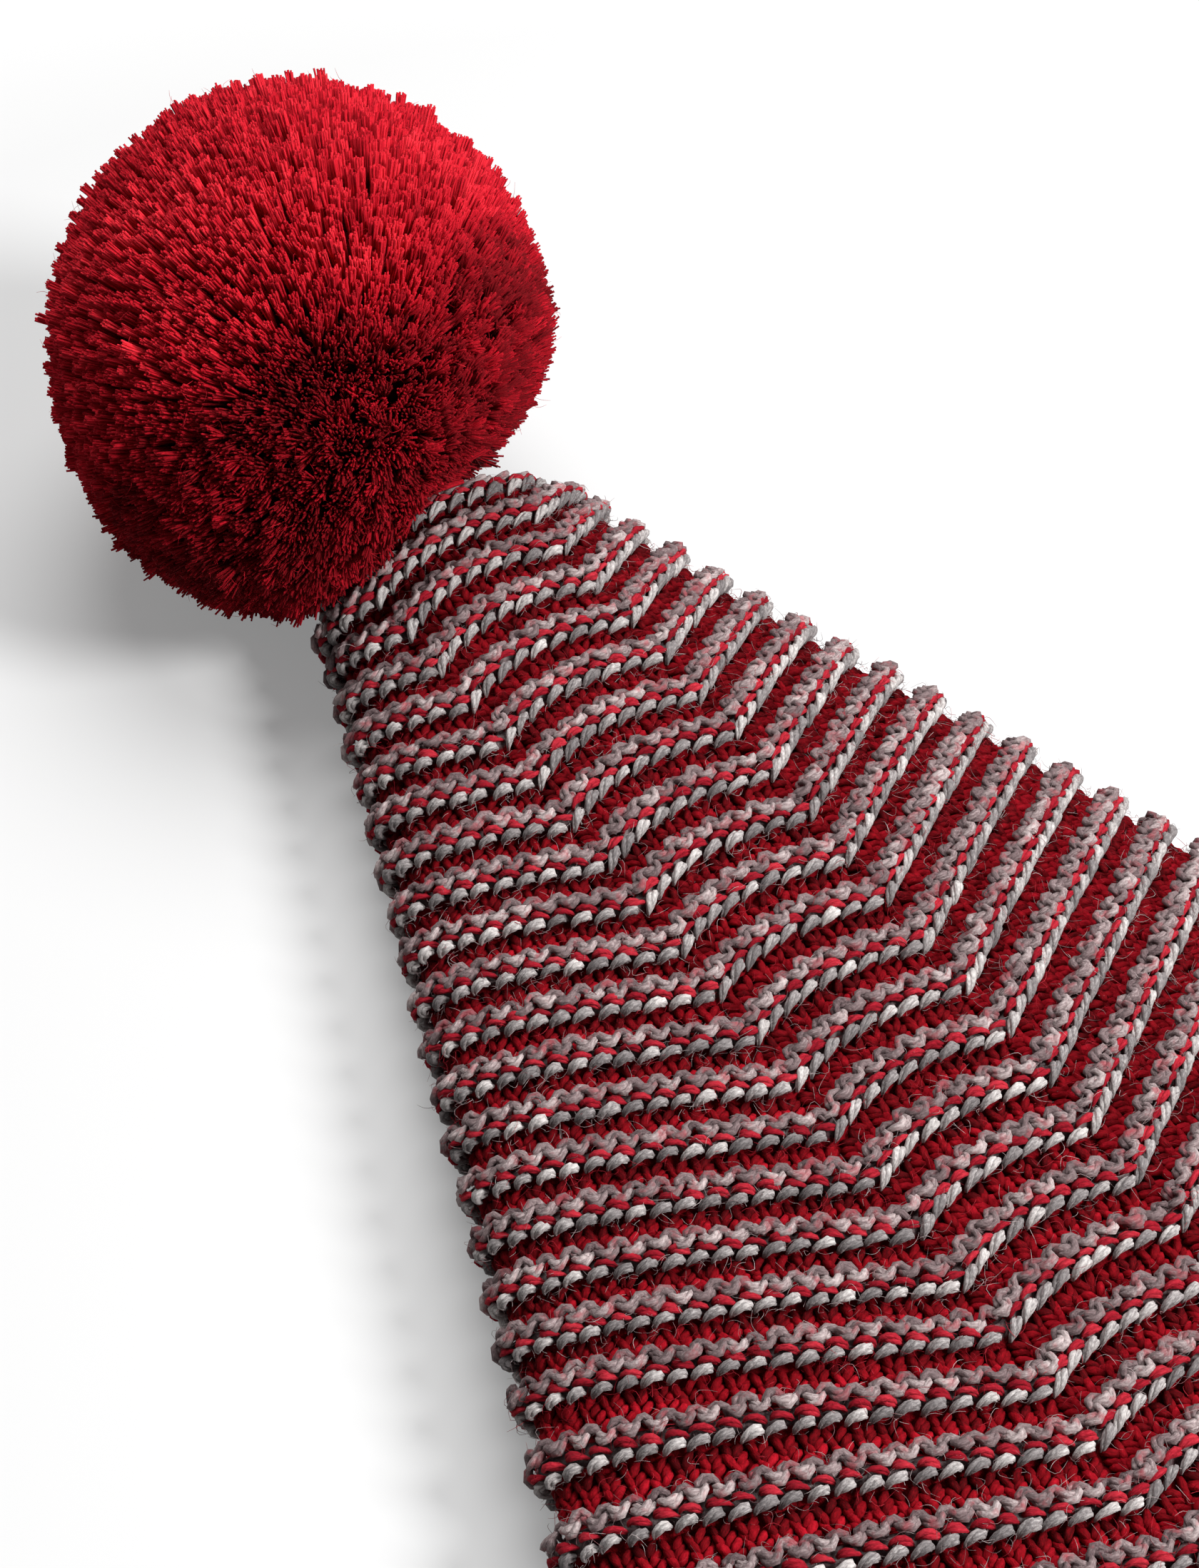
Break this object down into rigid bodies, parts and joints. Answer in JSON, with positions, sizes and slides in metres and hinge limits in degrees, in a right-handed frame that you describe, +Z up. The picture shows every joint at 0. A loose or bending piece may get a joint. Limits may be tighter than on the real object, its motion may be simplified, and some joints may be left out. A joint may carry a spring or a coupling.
{
  "type": "knitted pom pom hat",
  "caption": "Flattened knitted cone hat with raised grey and red welts and a cut-yarn red pom pom tied to its tip; the cap folds across and the pom pom swings.",
  "frame": {"origin": "on the table, under the middle of the whole object's box", "axes": "+Y from the brim to the pom pom, +X across the cap, +Z up from the table it lies on"},
  "size_m": [0.231, 0.33, 0.09],
  "materials": {
    "red_knit": "fuzzy red wool stockinette",
    "grey_yarn": "soft grey marl wool yarn, slight sheen",
    "pom_pile": "dense cut wool pile",
    "tie_yarn": "twisted wool yarn"
  },
  "bodies": {
    "cap_lower": {"knit_shell_lower": "red_knit", "brim_cast_on_edge": "red_knit", "back_seam_lower": "red_knit", "welt_01": "grey_yarn", "welt_02": "grey_yarn", "welt_03": "grey_yarn", "welt_04": "grey_yarn", "welt_05": "grey_yarn", "welt_06": "grey_yarn", "welt_07": "grey_yarn", "welt_08": "grey_yarn", "welt_09": "grey_yarn", "welt_10": "grey_yarn", "welt_11": "grey_yarn", "welt_12": "grey_yarn"},
    "cap_middle": {"knit_shell_middle": "red_knit", "back_seam_middle": "red_knit", "welt_13": "grey_yarn", "welt_14": "grey_yarn", "welt_15": "grey_yarn", "welt_16": "grey_yarn", "welt_17": "grey_yarn", "welt_18": "grey_yarn", "welt_19": "grey_yarn", "welt_20": "grey_yarn", "welt_21": "grey_yarn"},
    "cap_tip": {"knit_shell_tip": "red_knit", "back_seam_tip": "red_knit", "crown_gather_yarn": "tie_yarn", "inner_anchor_knot": "tie_yarn", "inner_tie_tails": "tie_yarn", "welt_22": "grey_yarn", "welt_23": "grey_yarn", "welt_24": "grey_yarn", "welt_25": "grey_yarn", "welt_26": "grey_yarn", "welt_27": "grey_yarn"},
    "pompom": {"pom_pile_near_half": "pom_pile", "pom_pile_far_half": "pom_pile", "pom_center_tie": "tie_yarn", "pom_tie_knot": "tie_yarn", "pom_tie_tails": "tie_yarn"}
  },
  "joints": [
    {"name": "fold_low", "type": "hinge", "parent": "cap_lower", "child": "cap_middle", "pos_m": [0, -0.0455, 0.0327], "axis": [1, 0, 0], "range_deg": [0, 90]},
    {"name": "fold_high", "type": "hinge", "parent": "cap_middle", "child": "cap_tip", "pos_m": [0, 0.04, 0.0292], "axis": [1, 0, 0], "range_deg": [0, 100]},
    {"name": "pom_swing", "type": "hinge", "parent": "cap_tip", "child": "pompom", "pos_m": [0, 0.1046, 0.0118], "axis": [0, 0, 1], "range_deg": [-20, 20]}
  ]
}
